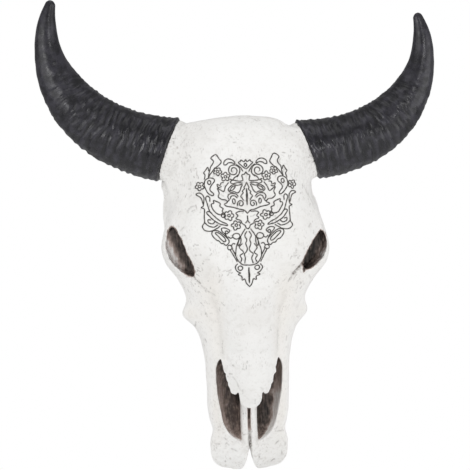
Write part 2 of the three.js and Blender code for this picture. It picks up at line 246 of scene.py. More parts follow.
def read_normals(mesh):
    """Vertex normals in (x, depth, z)."""
    flat = np.empty(len(mesh.vertices) * 3)
    mesh.vertex_normals.foreach_get("vector", flat)
    return flat.reshape(-1, 3) * (1, -1, 1)


def write_points(mesh, points):
    mesh.vertices.foreach_set("co", to_space(points).ravel())
    mesh.update()


def write_value(mesh, name, values):
    """Stores one number per vertex for the materials."""
    field = mesh.attributes.new(name, "FLOAT", "POINT")
    field.data.foreach_set("value", np.asarray(values, np.float32))


def bumps(points, size, seed):
    """Soft noise from -1 to 1 with bumps of a size in millimetres."""
    moved = points / size + (seed * 17.3, seed * 5.1, seed * 9.7)
    return np.array([noise.noise(p) for p in moved.tolist()])


# Skull shape


def swell(points):
    """Pushes points where the soft swellings lie."""
    side = np.sign(points[:, 0])
    mirror = np.stack([side, np.ones_like(side), np.ones_like(side)], 1)
    moved = points.copy()
    for at, reach, push, (left, right) in SWELLINGS.values():
        off = (points * mirror - at) / reach
        share = np.exp(-(off**2).sum(1)) * np.where(side > 0, right, left)
        moved += share[:, None] * mirror * push
    return moved


def head_section(z):
    """Cross-section of the head at one height, from the right edge over the face and round the back."""
    half, edge, crest = half_width(z), edge_depth(z), crest_depth(z)
    back, rest = back_width(z), back_depth(z)
    turn = np.linspace(0, math.pi, 500)
    c = np.cos(turn)
    x = half * np.sign(c) * np.abs(c) ** (2 / face_power(z))
    depth = edge + (crest - edge) * np.sin(turn).clip(0) ** (2 / shoulder_power(z))
    run = np.concatenate([[0], np.cumsum(np.hypot(np.diff(x), np.diff(depth)))])
    even = np.linspace(0, run[-1], 181)
    u = np.linspace(1, 0, 41)[1:]
    side_x = back + (half - back) * u ** side_power(z)
    side_depth = rest + (edge - rest) * u
    flat = np.linspace(-1, 1, 31)[1:-1] * back
    ring_x = np.concatenate([np.interp(even, run, x), -side_x, flat, side_x[::-1]])
    ring_depth = np.concatenate(
        [np.interp(even, run, depth), side_depth, np.full(len(flat), rest), side_depth[::-1]]
    )
    return swell(np.stack([ring_x, ring_depth, np.full(len(ring_x), z)], 1))


def socket_axes(side):
    """Middle of an eye socket, its outward, long and cross axes, and its half sizes along them."""
    socket = LEFT_SOCKET if side < 0 else RIGHT_SOCKET
    middle = np.array(socket["at"], float) * (side, 1, 1)
    outward = np.array(socket["out"]) * (side, 1, 1)
    outward /= np.linalg.norm(outward)
    lean = math.radians(socket["lean"])
    long = np.array([side * math.sin(lean), 0, math.cos(lean)])
    long -= outward * long.dot(outward)
    long /= np.linalg.norm(long)
    return middle, outward, long, np.cross(long, outward), socket["half"]


def socket_rings(side):
    middle, outward, long, across, (reach, tall, wide) = socket_axes(side)
    turn = np.linspace(0, 2 * math.pi, 73)[1:]
    round_part = wide * np.outer(np.cos(turn), across) + tall * np.outer(np.sin(turn), long)
    rings = []
    for rise in np.linspace(-math.pi / 2, math.pi / 2, 50)[1:-1]:
        ring = middle + math.cos(rise) * round_part + math.sin(rise) * reach * outward
        ring[:, 1] = np.maximum(ring[:, 1], LEFT_FLOOR if side < 0 else RIGHT_FLOOR)
        rings.append(ring)
    return rings


def horn_ring(side, x, depth, z, face, radius, turn, slant):
    """Points round a horn's axis, facing up from the horizontal by an angle, with the seat's slant."""
    across = radius * np.cos(turn)
    near = HORN_FLAT * radius * np.sin(turn)
    sine, cosine = math.sin(face), math.cos(face)
    at_x = x - across * sine + slant * near * cosine
    return np.stack([side * at_x, depth + near, z + across * cosine + slant * near * sine], 1)


def stub_rings(side, x, z, girth, slant, **_):
    """Bone stump that widens a little to a horn's seat."""
    turn = np.linspace(0, 2 * math.pi, 97)[1:]
    rings = []
    for inside in np.linspace(STUB_LONG, -4, 40):
        radius = girth * (STUB_INNER + (STUB_OUTER - STUB_INNER) * (1 - inside / STUB_LONG))
        at_x, at_z = x - inside * math.cos(FACE_TILT), z - inside * math.sin(FACE_TILT)
        rings.append(horn_ring(side, at_x, HORN_DEPTH, at_z, FACE_TILT, radius, turn, slant))
    return rings


def seat_rings(side, x, z, slant, **_):
    """Block beyond the flat seat of a horn."""
    corners = (
        (SEAT_HALF, SEAT_BACK), (SEAT_HALF, SEAT_FRONT), (-SEAT_HALF, SEAT_FRONT),
        (-SEAT_HALF, SEAT_BACK),
    )
    rings = []
    for out in (0, SEAT_LONG):
        ring = []
        for up, depth in corners:
            ahead = out + slant * (depth - HORN_DEPTH)
            at_x = x + ahead * math.cos(FACE_TILT) - up * math.sin(FACE_TILT)
            at_z = z + ahead * math.sin(FACE_TILT) + up * math.cos(FACE_TILT)
            ring.append((side * at_x, depth, at_z))
        rings.append(ring)
    return rings


def trough_rings(side):
    rings = []
    for z in np.linspace(TROUGH_TOP, TROUGH_END, 110):
        half = (trough_half(z) - SEPTUM_HALF) / 2
        middle = SEPTUM_HALF + half
        turn = np.linspace(0, math.pi, 41)
        x = np.concatenate([middle + half * np.cos(turn), [middle - half, middle + half]])
        depth = np.concatenate([trough_floor(z) + half * (1 - np.sin(turn)), [FRONT, FRONT]])
        rings.append(np.stack([side * x, depth, np.full(len(x), z)], 1))
    return rings


def septum_rings():
    """Room above the bar between the troughs, whose top is two rounded strips."""
    rings = []
    for z in np.linspace(SEPTUM_TOP, SEPTUM_END, 60):
        x = np.linspace(SEPTUM_HALF + 1, -SEPTUM_HALF - 1, 41)
        strip = septum_top(z) - STRIP_CROWN * (2 * np.abs(x) / SEPTUM_HALF - 1) ** 2
        depth = np.concatenate([strip, [FRONT, FRONT]])
        x = np.concatenate([x, [x[-1], x[0]]])
        rings.append(np.stack([x, depth, np.full(len(x), z)], 1))
    return rings


def ragged(z, seed):
    """Small broken steps in the lower edge of the nose plate."""
    steps = 1.5 * noise.noise((z / 6, seed, 0)) + 1.1 * noise.noise((z / 2.6, seed, 5))
    return float(smooth(-140, -165, z)) * steps


def nasal_rings():
    rings = []
    for z in np.linspace(NASAL_TOP, NASAL_END, 130):
        half, top = nasal_half(z), nasal_depth(z)
        x = np.linspace(half + ragged(z, 3.4), -half - ragged(z, 8.2), 61)
        outer = top - NASAL_ARCH * x**2
        ring_x = np.concatenate([x, 0.96 * x[::-1]])
        ring_depth = np.concatenate([outer, outer[::-1] - NASAL_THICK])
        rings.append(np.stack([ring_x, ring_depth, np.full(len(ring_x), z)], 1))
    return rings


def crack_rings(half, low, high, floor, x=0):
    """Upright slot whose half width changes with height."""
    rings = []
    for z in np.linspace(high, low, 24):
        wide = float(half(z))
        right, left = x + wide, x - wide
        rings.append([(right, floor, z), (right, FRONT, z), (left, FRONT, z), (left, floor, z)])
    return rings


def notch_rings():
    """Gap between the two jaw tips, narrow at its top and rounded out at its lower corners."""
    path = []
    for t in np.linspace(0.02, 1, 40):
        x = 2 * t * (1 - t) * 3 + t * t * NOTCH_HALF
        z = (1 - t) ** 2 * NOTCH_TOP + 2 * t * (1 - t) * NOTCH_TURN + t * t * (MUZZLE_Z - 1)
        low = max(0, (MUZZLE_Z + 6 - z) / 7)
        path.append((x + 6 * (1 - math.sqrt(1 - low * low)), z))
    path.append((path[-1][0], MUZZLE_Z - 8))
    return [[(x, -50, z), (x, FRONT, z), (-x, FRONT, z), (-x, -50, z)] for x, z in path]


def block_rings(half, middle, high, deep):
    """Upright recess in the back, from behind the wall face to a depth."""
    ends = (middle + high, middle - high)
    return [[(half, -5, z), (half, deep, z), (-half, deep, z), (-half, -5, z)] for z in ends]


def build_skull():
    spans = ((POLL_Z, 170, 25), (170, -280, 330), (-280, MUZZLE_Z, 30))
    heights = np.concatenate([[POLL_Z]] + [np.linspace(*span)[1:] for span in spans])
    made = make_object("skull_bone", *loft([head_section(z) for z in heights]))
    for horn in (LEFT_HORN, RIGHT_HORN):
        combine(made, "UNION", stub_rings(**horn))
        combine(made, "DIFFERENCE", seat_rings(**horn))
        combine(made, "DIFFERENCE", socket_rings(horn["side"]))
        combine(made, "DIFFERENCE", trough_rings(horn["side"]))
    combine(made, "DIFFERENCE", septum_rings())
    combine(made, "DIFFERENCE", crack_rings(slit_half, SLIT_END, SLIT_TOP, SLIT_FLOOR))
    combine(made, "UNION", nasal_rings())
    for side in (-1, 1):
        gap = crack_rings(prong_gap, PRONG_END, PRONG_TOP, PRONG_FLOOR, side * PRONG_X)
        combine(made, "DIFFERENCE", gap)
    combine(made, "DIFFERENCE", notch_rings())
    combine(made, "DIFFERENCE", block_rings(RECESS_HALF, HANGER_Z, RECESS_HIGH, RECESS_DEEP))
    combine(made, "DIFFERENCE", block_rings(POCKET_HALF, POCKET_Z, POCKET_HIGH, POCKET_DEEP))
    even = made.modifiers.new("even", "REMESH")
    even.mode = "VOXEL"
    even.voxel_size = GRAIN * MM
    soften = made.modifiers.new("soften", "SMOOTH")
    soften.factor = 0.5
    soften.iterations = 4
    apply_modifiers(made)
    blend_joins(made)
    return made


def blend_joins(made):
    """Eases the lines where the nose plate and the horn stumps leave the head."""
    points = read_points(made.data)
    x, depth, z = points.T
    chosen = (z < NASAL_TOP + 8) & (z > TROUGH_TOP - 9) & (np.abs(x) < 36) & (depth > 90)
    chosen |= (np.abs(z - NASAL_TOP) < 14) & (np.abs(x) < 52) & (depth > 80)
    for horn in (LEFT_HORN, RIGHT_HORN):
        inside = seat_distance(points, horn)
        chosen |= (inside > 5) & (inside < 62) & (horn["side"] * x > 38) & (z > 72) & (depth > 4)
    group = made.vertex_groups.new(name="joins")
    group.add(np.nonzero(chosen)[0].tolist(), 1.0, "REPLACE")
    ease = made.modifiers.new("ease", "SMOOTH")
    ease.factor = 0.5
    ease.iterations = 45
    ease.vertex_group = group.name
    apply_modifiers(made)
    made.vertex_groups.clear()


# Floral scrollwork on the forehead


def curve_through(points, closed):
    """Smooth line through a few points."""
    p = np.asarray(points, float)
    if closed:
        p = np.concatenate([p[-1:], p, p[:2]])
    else:
        p = np.concatenate([2 * p[:1] - p[1:2], p, 2 * p[-1:] - p[-2:-1]])
    t = np.linspace(0, 1, 12, endpoint=False)[:, None]
    spans = []
    for a, b, c, d in zip(p[:-3], p[1:-2], p[2:-1], p[3:]):
        bend = (2 * a - 5 * b + 4 * c - d) * t**2 + (3 * b - a - 3 * c + d) * t**3
        spans.append(b + 0.5 * ((c - a) * t + bend))
    return np.concatenate(spans + [p[-2:-1]])


def oval(u, v, wide, high):
    turn = np.linspace(0, 2 * math.pi, 33)
    return np.stack([u + wide * np.cos(turn), v + high * np.sin(turn)], 1)


def spiral(u, v, radius, turns, start):
    turn = np.linspace(0, 1, int(40 * abs(turns)))
    angle = math.radians(start) + 2 * math.pi * turns * turn
    reach = radius * (1 - 0.72 * turn)
    return np.stack([u + reach * np.cos(angle), v + reach * np.sin(angle)], 1)


def flower(u, v, radius, tilt):
    """Outline of five petals."""
    turn = np.linspace(0, 2 * math.pi, 91)
    reach = radius * (0.6 + 0.4 * np.abs(np.cos(2.5 * turn)))
    angle = turn + math.radians(tilt)
    return np.stack([u + reach * np.cos(angle), v + reach * np.sin(angle)], 1)


# Right half of the ornament, in units across from the midline and down from its top
ORNAMENT_UNIT = 1.208
ORNAMENT_TOP = 134.9
WOBBLE, WOBBLE_SIZE = 0.75, 8
FLOWERS = (
    (30.9, 24.5, 4.6, 20), (22.4, 30.5, 5, 50), (50.6, 40, 4.8, 10), (20, 73, 5.4, 35),
    (12.5, 84, 5.2, 0),
)
OVALS = (
    (40.3, 36.4, 1.7, 2.3), (26.7, 72.4, 1.9, 2.2), (12.9, 95.8, 4, 3.3), (20.5, 108, 2.4, 2.4),
    (9.2, 130.5, 2.6, 2.4), (14.3, 57.6, 1.4, 2.7), (23.2, 91, 1.5, 1.5),
)
SPIRALS = ((13.4, 24, 7.6, 1.75, 115), (6.6, 60.6, 4.2, -1.3, 30))
CLOSED_LINES = {
    "club leaf": (
        (27.1, 15.5), (28.8, 10), (31.4, 6), (35.4, 7.5), (37.3, 10), (35.2, 13), (36.6, 17),
        (38.9, 21), (41.1, 31), (38.8, 27), (34.4, 22),
    ),
    "half leaf": (
        (11.4, 16.6), (12.8, 13.4), (16, 11.4), (19.6, 11), (23, 13.2), (23.6, 16.8), (21, 17),
        (18.8, 15.4), (15.2, 15),
    ),
    "hooked leaf": (
        (35.5, 32.3), (40.5, 31.5), (44.8, 34), (45.6, 40), (42.5, 46.5), (37.9, 50.5), (36, 49),
        (39.6, 44), (38.3, 40), (34.9, 35.5),
    ),
    "brow leaf": (
        (4.5, 39.4), (10, 40.4), (15.5, 39.8), (20.2, 44), (18, 47.5), (13.5, 47), (10, 48.4),
        (7.2, 45.8), (5.8, 42.3),
    ),
    "almond": ((12, 41.4), (16, 42), (18.6, 45.6), (14.6, 44.8)),
    "ragged leaf": (
        (25.5, 71.5), (27.3, 68), (26.4, 65), (29.6, 63), (29.2, 59.5), (33.1, 57.4), (36.6, 56),
        (36.4, 59), (39.2, 60.2), (37.9, 65), (33.2, 70.5),
    ),
    "sweeping leaf": (
        (40.8, 68), (44, 69.5), (38.6, 76.5), (31.4, 81.5), (22.8, 84), (23.3, 82), (31.5, 77.5),
        (37.2, 72.5),
    ),
    "bean leaf": (
        (21.3, 103), (21.6, 99.5), (25.9, 94.5), (32.6, 89.4), (38.1, 89.2), (39.2, 93), (35.2, 99),
        (32, 100.4), (29.6, 103.2), (26.6, 103.6), (24.1, 105.8),
    ),
    "bean strip": (
        (24.4, 100.6), (25.8, 97.3), (31, 92.4), (34.8, 90.9), (35.6, 92.4), (31.9, 96.3), (26.8, 101),
    ),
    "cup leaf": ((8.2, 97), (10.4, 100), (10.8, 106.4), (8.4, 103)),
}
OPEN_LINES = {
    "palmette": ((0, 12), (1.8, 14.3), (4.8, 12.2), (6, 14), (8, 15.2), (4.6, 18.8), (0.4, 22.4)),
    "palmette eye": ((0, 16.2), (1.5, 18.3), (0, 20.4)),
    "palmette stem": ((10.4, 17.4), (6.4, 20.2), (3.2, 25)),
    "spiral tail": ((8.6, 29), (12.6, 31.6), (14.2, 34), (17.8, 33.4)),
    "bud": ((40.4, 23.5), (41.6, 19.4), (43.8, 22.6), (45.4, 25.2), (44.2, 28), (45.2, 32.6)),
    "small leaf": ((24.6, 36.4), (27.4, 37), (28.6, 39.6), (32, 38.4), (30.6, 42), (27, 41)),
    "finial": (
        (0, 25.6), (1.6, 28), (4.2, 29.3), (3.2, 34.3), (5.4, 35.8), (10, 35.4), (15, 34.6),
        (17.2, 36.6), (14.5, 38.4), (9, 37.4), (4, 37.9),
    ),
    "spear leaf": (
        (0, 37.2), (1.4, 40.4), (2.8, 42.8), (2.2, 44.6), (4.6, 47), (3.8, 48.8), (6.4, 52), (5, 54),
        (3.4, 57.4),
    ),
    "spear rib": ((0, 44), (0.5, 53), (0, 62)),
    "hook": (
        (9.3, 52.6), (11.4, 49.8), (15.5, 48.9), (19.4, 50), (20.8, 53), (19.2, 56.2), (21.4, 58.4),
    ),
    "inner hook": ((10.4, 54), (13.6, 51.6), (17, 52.2), (18, 55.2)),
    "mask edge": (
        (19.5, 37), (22.8, 41.5), (24.6, 46.5), (28.1, 45.2), (31.7, 43), (30, 48), (31.2, 52),
        (27.8, 55), (23.3, 56), (21.3, 58.8), (24.6, 60.5), (22, 62.8), (14.9, 64.2), (8.9, 66.4),
        (3.8, 67.4), (0, 71.5),
    ),
    "round stem": (
        (40.7, 57), (40.6, 53), (42.8, 50.8), (45.1, 53), (43.7, 58), (42, 64), (40.3, 69),
    ),
    "outer leaf": (
        (47, 60), (46.8, 55), (47.4, 50.5), (50.6, 47.2), (55, 48.5), (50.8, 51.5), (48.8, 56),
        (47.2, 61.2), (49.6, 63.2), (46.4, 65.4), (46.9, 73), (46.9, 80), (49.4, 84), (46.6, 88.2),
        (40.1, 89.2), (33.2, 86.5), (30, 84),
    ),
    "outer fold": ((46.9, 80), (42.2, 83.8), (36.7, 85.2), (32.4, 82.8)),
    "small hook": ((35.6, 79.6), (38.6, 81.6), (42.4, 80), (43, 77), (40, 77.4)),
    "bean hook": (
        (21.1, 91.4), (20.1, 89), (24.1, 86.8), (28.6, 87), (28.2, 90), (24.6, 93.5), (21.9, 98.5),
    ),
    "circle stem": ((16.8, 96.8), (19.4, 98), (21.8, 96)),
    "wing": (
        (3.6, 68.6), (8.6, 68.8), (12.4, 70.4), (10.2, 73.4), (12.2, 76.4), (8, 78.5), (6.3, 82),
        (3.2, 84), (2.2, 86.5), (0, 87.8),
    ),
    "wing vein": ((0, 74), (0.2, 78.6), (2.4, 81.6)),
    "cup": (
        (3.1, 88), (6.9, 94.5), (9.3, 98.5), (12.1, 105), (14.2, 115), (12, 122), (6.8, 126.6),
        (0, 128),
    ),
    "cup stalk": ((20, 110.6), (16.6, 117), (12.8, 123.6)),
    "cup stalk edge": ((17.8, 110), (15.4, 114.4), (14, 117.6)),
    "cup bud": ((14.2, 104), (16.6, 103.4), (18.6, 106), (17.4, 109.6)),
    "wavy strip": (
        (1.2, 90.5), (3.4, 95.5), (1.8, 100), (2.9, 104.6), (1.2, 109.5), (2.2, 113), (4.8, 115.5),
        (3.6, 120), (4.6, 125.5),
    ),
    "cup strip": ((6.6, 104), (9.6, 108.6), (5.8, 113.6), (9.2, 117), (7.4, 120.6), (9, 124)),
    "tail": (
        (12.3, 126.2), (14.9, 130), (12.8, 134.4), (9.2, 136), (12, 137.6), (7.9, 140), (7.7, 143.7),
        (4.8, 142.7), (3.1, 147), (0, 151.2),
    ),
    "tail rib": ((0, 130.4), (0.5, 139), (0, 147)),
}


def ornament_lines():
    """All lines in (across, up) millimetres, mirrored and resampled to even short steps."""
    half = [flower(*one) for one in FLOWERS] + [oval(u, v, 1.5, 1.4) for u, v, _, _ in FLOWERS]
    half += [oval(*one) for one in OVALS] + [spiral(*one) for one in SPIRALS]
    half += [curve_through(points, True) for points in CLOSED_LINES.values()]
    half += [curve_through(points, False) for points in OPEN_LINES.values()]
    even = []
    for line in half:
        line = line * (ORNAMENT_UNIT, -ORNAMENT_UNIT) + (0, ORNAMENT_TOP)
        run = np.concatenate([[0], np.cumsum(np.linalg.norm(np.diff(line, axis=0), axis=1))])
        at = np.linspace(0, run[-1], max(5, int(run[-1] / 0.8)))
        line = np.stack([np.interp(at, run, line[:, 0]), np.interp(at, run, line[:, 1])], 1)
        for half_line in (line, line * (-1, 1)):
            place = np.insert(half_line, 1, 0, axis=1)
            shift = [bumps(place, WOBBLE_SIZE, seed) for seed in (21, 22)]
            even.append(half_line + WOBBLE * np.stack(shift, 1))
    return even


# Surface of the skull

INK_HALF = 0.68
GROOVE_DEPTH = 0.55
PANEL_HALF, PANEL_LOW, PANEL_HIGH = 72, -54, 135
PITS, NICKS = 190, 105
CREASE = ((50, -62), (43, -78), (40.5, -94), (38.5, -118), (37.5, -142))
# Inner edge of the eye sockets as seen from the front: its place at the height of zero and its slope
LEFT_EDGE, RIGHT_EDGE = (81.8, 0.4325), (83.2, 0.551)
# Cracks in the bone, across and up, with their strength and half width
CRACKS = (
    (((75, -15), (70.5, -22), (65, -27.5), (60, -33)), 1.4, 1.9),
    (((60, -33), (56, -38), (53.5, -43)), 0.6, 1.1),
    (((-73.6, -31), (-69.5, -37), (-64, -42)), 0.8, 1.2),
    (((-62.5, -45), (-55.5, -52), (-45, -58.5)), 0.4, 0.9),
    (((39, -134), (38.6, -120), (39.4, -106)), 0.4, 0.8),
    (((-37.2, -137), (-37.8, -128), (-37, -120)), 0.45, 0.8),
    (((5.4, -200), (5.4, -206)), 0.5, 0.7),
    (((-23.5, -169), (-18.5, -176), (-15, -187)), 0.4, 0.8),
    (((13, -184), (17, -187)), 0.4, 0.8),
    (((38.5, -249), (47, -249.5)), 0.5, 0.8),
    (((43.5, -277), (44.5, -284)), 0.5, 0.9),
    (((33.5, -289), (30, -291.5)), 0.6, 1.1),
    (((39.5, -263), (36, -265.5)), 0.6, 1),
    (((-26, -271), (-18.5, -275)), 0.45, 0.9),
    (((-34, -264), (-34, -270)), 0.35, 0.9),
    (((-70, -95), (-70.5, -101)), 0.5, 0.9),
    (((-58, -118), (-56.5, -122)), 0.45, 0.9),
    (((70.5, -92.5), (68, -92)), 0.6, 0.9),
    (((51.5, -117), (51, -123)), 0.4, 0.9),
    (((-79, 55.5), (-73.5, 60), (-68, 61)), 0.5, 0.9),
    (((-73, 54), (-69, 56)), 0.45, 0.8),
    (((-67.5, 62), (-66.5, 57)), 0.45, 0.8),
    (((-88, 29), (-84, 33)), 0.45, 0.9),
    (((-90, 20.5), (-83, 23)), 0.5, 0.9),
    (((-52, 72.5), (-45, 76)), 0.35, 0.8),
    (((18.5, 77.5), (25.5, 81)), 0.35, 0.8),
    (((17, 72), (22, 74)), 0.35, 0.8),
    (((79.5, 84), (90, 66), (94, 54)), 0.3, 0.9),
    (((83, 29), (85.5, 33.5)), 0.45, 0.9),
    (((-83, -7), (-79, -12)), 0.4, 0.9),
    (((-77.5, -30), (-71, -32)), 0.3, 0.9),
    (((83.5, -35.5), (86, -40)), 0.4, 0.9),
)


def refine_panel(mesh):
    """Splits the faces of the forehead panel, so that the engraved lines are crisp."""
    shape = bmesh.new()
    shape.from_mesh(mesh)
    panel = []
    for face in shape.faces:
        middle = face.calc_center_median() / MM
        within = abs(middle.x) < PANEL_HALF and PANEL_LOW < middle.z < PANEL_HIGH
        if within and face.normal.y < -0.35:
            panel.append(face)
    edges = list({edge for face in panel for edge in face.edges})
    bmesh.ops.subdivide_edges(shape, edges=edges, cuts=1, use_grid_fill=True)
    shape.to_mesh(mesh)
    shape.free()


def near_line(points, line):
    """Distance of each point from a polyline."""
    nearest = np.full(len(points), 1e9)
    for a, b in zip(line[:-1], line[1:]):
        a, b = np.array(a, float), np.array(b, float)
        t = np.clip(((points - a) @ (b - a)) / ((b - a) @ (b - a)), 0, 1)
        nearest = np.minimum(nearest, np.linalg.norm(points - a - t[:, None] * (b - a), axis=1))
    return nearest


def seat_distance(points, horn):
    """How far points lie behind a horn's seat."""
    out = np.array([horn["side"] * math.cos(FACE_TILT), 0, math.sin(FACE_TILT)])
    off = points - (horn["side"] * horn["x"], HORN_DEPTH, horn["z"])
    return horn["slant"] * off[:, 1] - off @ out


def socket_reach(points, side):
    """How far points lie from the middle of an eye socket, in shares of its size."""
    middle, outward, long, across, half = socket_axes(side)
    return np.linalg.norm((points - middle) @ np.stack([outward, long, across], 1) / half, axis=1)


def socket_wash(points):
    """Strength of the brown paint in the eye sockets, dark inside and thin on the outer wall."""
    strength = np.zeros(len(points))
    ragged_edge = 3 * bumps(points, 8, 31) + 1.5 * bumps(points, 3, 32)
    spilled = 0.2 * np.clip(bumps(points, 7, 33), 0, 1)
    for side, (edge, slope) in ((-1, LEFT_EDGE), (1, RIGHT_EDGE)):
        from_edge = side * points[:, 0] - edge - slope * points[:, 2] + ragged_edge
        inside = smooth(1.08, 0.98, socket_reach(points, side) - spilled * smooth(3, 9, from_edge))
        thin = 10 if side < 0 else 17
        paint = 0.08 + 0.26 * smooth(thin + 7, thin, from_edge)
        paint += 0.46 * smooth(thin + 2, thin - 7, from_edge)
        strength = np.maximum(strength, inside * paint)
    return strength


def nose_wash(points):
    """Strength of the brown paint in the nose troughs and the slit between, thin on the outer walls, with
    painted shade under the end of the nasal plate.
    """
    x, depth, z = np.abs(points[:, 0]), points[:, 1], points[:, 2]
    under_plate = nasal_depth(z) - NASAL_ARCH * x**2 - NASAL_THICK + 1
    rim = np.where(z > -206, np.minimum(under_plate, crest_depth(z) - 6), 58 + 0.17 * (z + 206))
    edge = trough_half(z)
    within = smooth(-134, -140, z) * smooth(-264, -260, z) * smooth(edge + 2, edge - 0.5, x)
    floor = trough_floor(z)
    inside = within * smooth(-1, 6, rim - depth) * smooth(floor - 7, floor - 3, depth)
    across = (edge - x) / (edge - SEPTUM_HALF)
    across += 0.14 * bumps(points, 8, 31) + 0.06 * bumps(points, 3, 32)
    low = smooth(-178, -200, z)
    left = 0.2 + 0.4 * smooth(0.15, 0.55, across) * low
    right = 0.28 - 0.2 * low + (0.1 + 0.6 * low) * smooth(0.14, 0.44, across)
    # Painted shade: more brown where the end of the nasal plate overhangs the troughs
    painted_shade_under_plate = 0.3 * smooth(-218, -204, z) * smooth(10, 0, x - nasal_half(np.maximum(z, -196)))
    ends = 1 - 0.45 * smooth(-232, -254, z)
    brown = (np.where(points[:, 0] < 0, left, right) + painted_shade_under_plate) * ends
    slit = 0.42 * smooth(2.6, 1.4, x) * smooth(-250, -240, z)
    slit *= smooth(-1, 1.5, septum_top(z) - depth)
    return inside * np.where(x < SEPTUM_HALF + 0.5, slit, brown)


def dent(normals, tree, middle, radius, depth, moved, dirt_and_crease_shade, dirt):
    """Presses a small round pit into the surface and darkens it."""
    for _, index, distance in tree.find_range(middle, radius):
        share = (1 - (distance / radius) ** 2) ** 2
        moved[index] -= normals[index] * depth * share
        dirt_and_crease_shade[index] = max(dirt_and_crease_shade[index], dirt * share)


def weather(points, normals, moved, rough):
    """Seeded groups of short nicks and some single pits, thicker where the bone is rough."""
    dirt_and_crease_shade = np.zeros(len(points))
    tree = kdtree.KDTree(len(points))
    for index, p in enumerate(points.tolist()):
        tree.insert(p, index)
    tree.balance()
    front = np.nonzero(normals[:, 1] > 0.1)[0]
    chance = (0.3 + rough[front]) / (0.3 + rough[front]).sum()
    for index in rng.choice(front, PITS, replace=False, p=chance):
        radius = rng.uniform(1.3, 2.3)
        dirt = rng.uniform(0.15, 0.6)
        dent(normals, tree, points[index], radius, 0.14 * radius, moved, dirt_and_crease_shade, dirt)
    for index in rng.choice(front, NICKS, replace=False, p=chance):
        main = rng.uniform(0, 2 * math.pi)
        for _ in range(rng.integers(2, 6)):
            heading = main + rng.normal(0, 0.6)
            dirt = rng.uniform(0.15, 0.62)
            place = points[index] + rng.normal(0, 5, 3)
            for _ in range(rng.integers(2, 6)):
                here = points[tree.find(place)[1]]
                dent(normals, tree, here, 1.5, 0.2, moved, dirt_and_crease_shade, dirt)
                place = here + np.array([math.cos(heading), 0, math.sin(heading)]) * 1.4
                heading += rng.normal(0, 0.25)
    return dirt_and_crease_shade


def finish_surface(made, lines):
    """Models the bone's surface and stores where paint and dirt lie, with painted shade in the nose creases
    and under the nasal plate and painted light on steep sides.
    """
    mesh = made.data
    points, normals = read_points(mesh), read_normals(mesh)
    x, z = points[:, 0], points[:, 2]
    flat_place = np.stack([x, z], 1)
    front = smooth(-0.2, 0.3, normals[:, 1])
    back = smooth(3, 12, points[:, 1])
    flat_panel = smooth(80, 60, np.abs(x)) * smooth(-62, -40, z) * smooth(142, 125, z) * front
    seat = np.minimum(*(np.abs(seat_distance(points, horn)) for horn in (LEFT_HORN, RIGHT_HORN)))
    near_horn = smooth(46, 6, seat) * smooth(60, 90, z)
    near_muzzle = smooth(-205, -265, z)
    near_socket = smooth(34, 12, near_line(np.stack([np.abs(x), z], 1), ((92, 26), (82, -28))))
    lift = back * (1 - 0.6 * flat_panel) * (0.7 * bumps(points, 34, 1) + 0.35 * bumps(points, 13, 2))
    lift += back * (0.1 + 0.45 * near_horn + 0.35 * near_muzzle) * bumps(points, 5.5, 3)
    lift += back * 0.25 * near_horn * bumps(points, 2.8, 4)
    crease = near_line(np.stack([np.abs(x), z], 1), CREASE)
    lift -= front * 1.1 * np.exp(-((crease / 6) ** 2))
    nearest_socket = np.minimum(socket_reach(points, -1), socket_reach(points, 1))
    rim = np.exp(-(((nearest_socket - 1.02) / 0.09) ** 2)) * smooth(0, 0.5, normals[:, 1])
    chipped = rim * np.clip(2 * bumps(points, 7, 33) + 0.1, 0, 1)
    lift -= 1.8 * chipped
    jaw_seam = smooth(-226, -234, z) * smooth(34, 40, points[:, 1]) * front
    lift -= jaw_seam * smooth(44, 48, points[:, 1]) * 2 * np.exp(-((x / 1.4) ** 2))
    cracked = np.zeros(len(points))
    for crack, strength, half in CRACKS:
        uneven = strength * (0.85 + 0.5 * bumps(points, 4, 5))
        cracked = np.maximum(cracked, uneven * np.exp(-((near_line(flat_place, crack) / half) ** 2)))
    lift -= front * 1.6 * cracked

    tree = kdtree.KDTree(sum(len(line) for line in lines))
    for index, (u, v) in enumerate(np.concatenate(lines).tolist()):
        tree.insert((u, v, 0), index)
    tree.balance()
    engraved = np.full(len(points), 9.0)
    for index in np.nonzero(flat_panel > 0)[0]:
        engraved[index] = tree.find((x[index], z[index], 0))[2]
    groove = smooth(INK_HALF + 0.9, INK_HALF - 0.3, engraved)
    lift -= GROOVE_DEPTH * groove * front

    moved = points + normals * lift[:, None]
    dirt_and_crease_shade = weather(points, normals, moved, np.maximum.reduce([near_horn, near_muzzle, near_socket]))
    # Painted shade: a thin darkening along the creases beside the nasal bones
    dirt_and_crease_shade = np.maximum(dirt_and_crease_shade, 0.12 * front * np.exp(-((crease / 3) ** 2)))
    dirt_and_crease_shade = np.maximum(dirt_and_crease_shade, front * np.clip(cracked, 0, 1))
    dirt_and_crease_shade = np.maximum(dirt_and_crease_shade, 0.6 * rim * np.clip(3 * bumps(points, 4, 34) - 0.5, 0, 1))
    dirt_and_crease_shade = np.maximum(dirt_and_crease_shade, jaw_seam * (0.5 + 0.5 * smooth(-252, -262, z)) * np.exp(-((x / 1.6) ** 2)))
    dirt_and_crease_shade = np.maximum(dirt_and_crease_shade, 0.4 * smooth(INK_HALF + 0.8, INK_HALF + 0.1, engraved) * front)
    write_points(mesh, moved)
    write_value(mesh, "wash", np.maximum(socket_wash(points), nose_wash(points)))
    write_value(mesh, "dirt_and_crease_shade", dirt_and_crease_shade)
    write_value(mesh, "rough_bone", np.maximum(near_horn, 0.7 * near_muzzle))
    # Painted light: surfaces that turn away from the front are made paler
    write_value(mesh, "painted_side_light", smooth(0.85, 0.35, normals[:, 1]))
    write_value(mesh, "warm", smooth(0, -70, z) * smooth(-280, -225, z) * smooth(25, 50, np.abs(x)))
    mesh.shade_smooth()


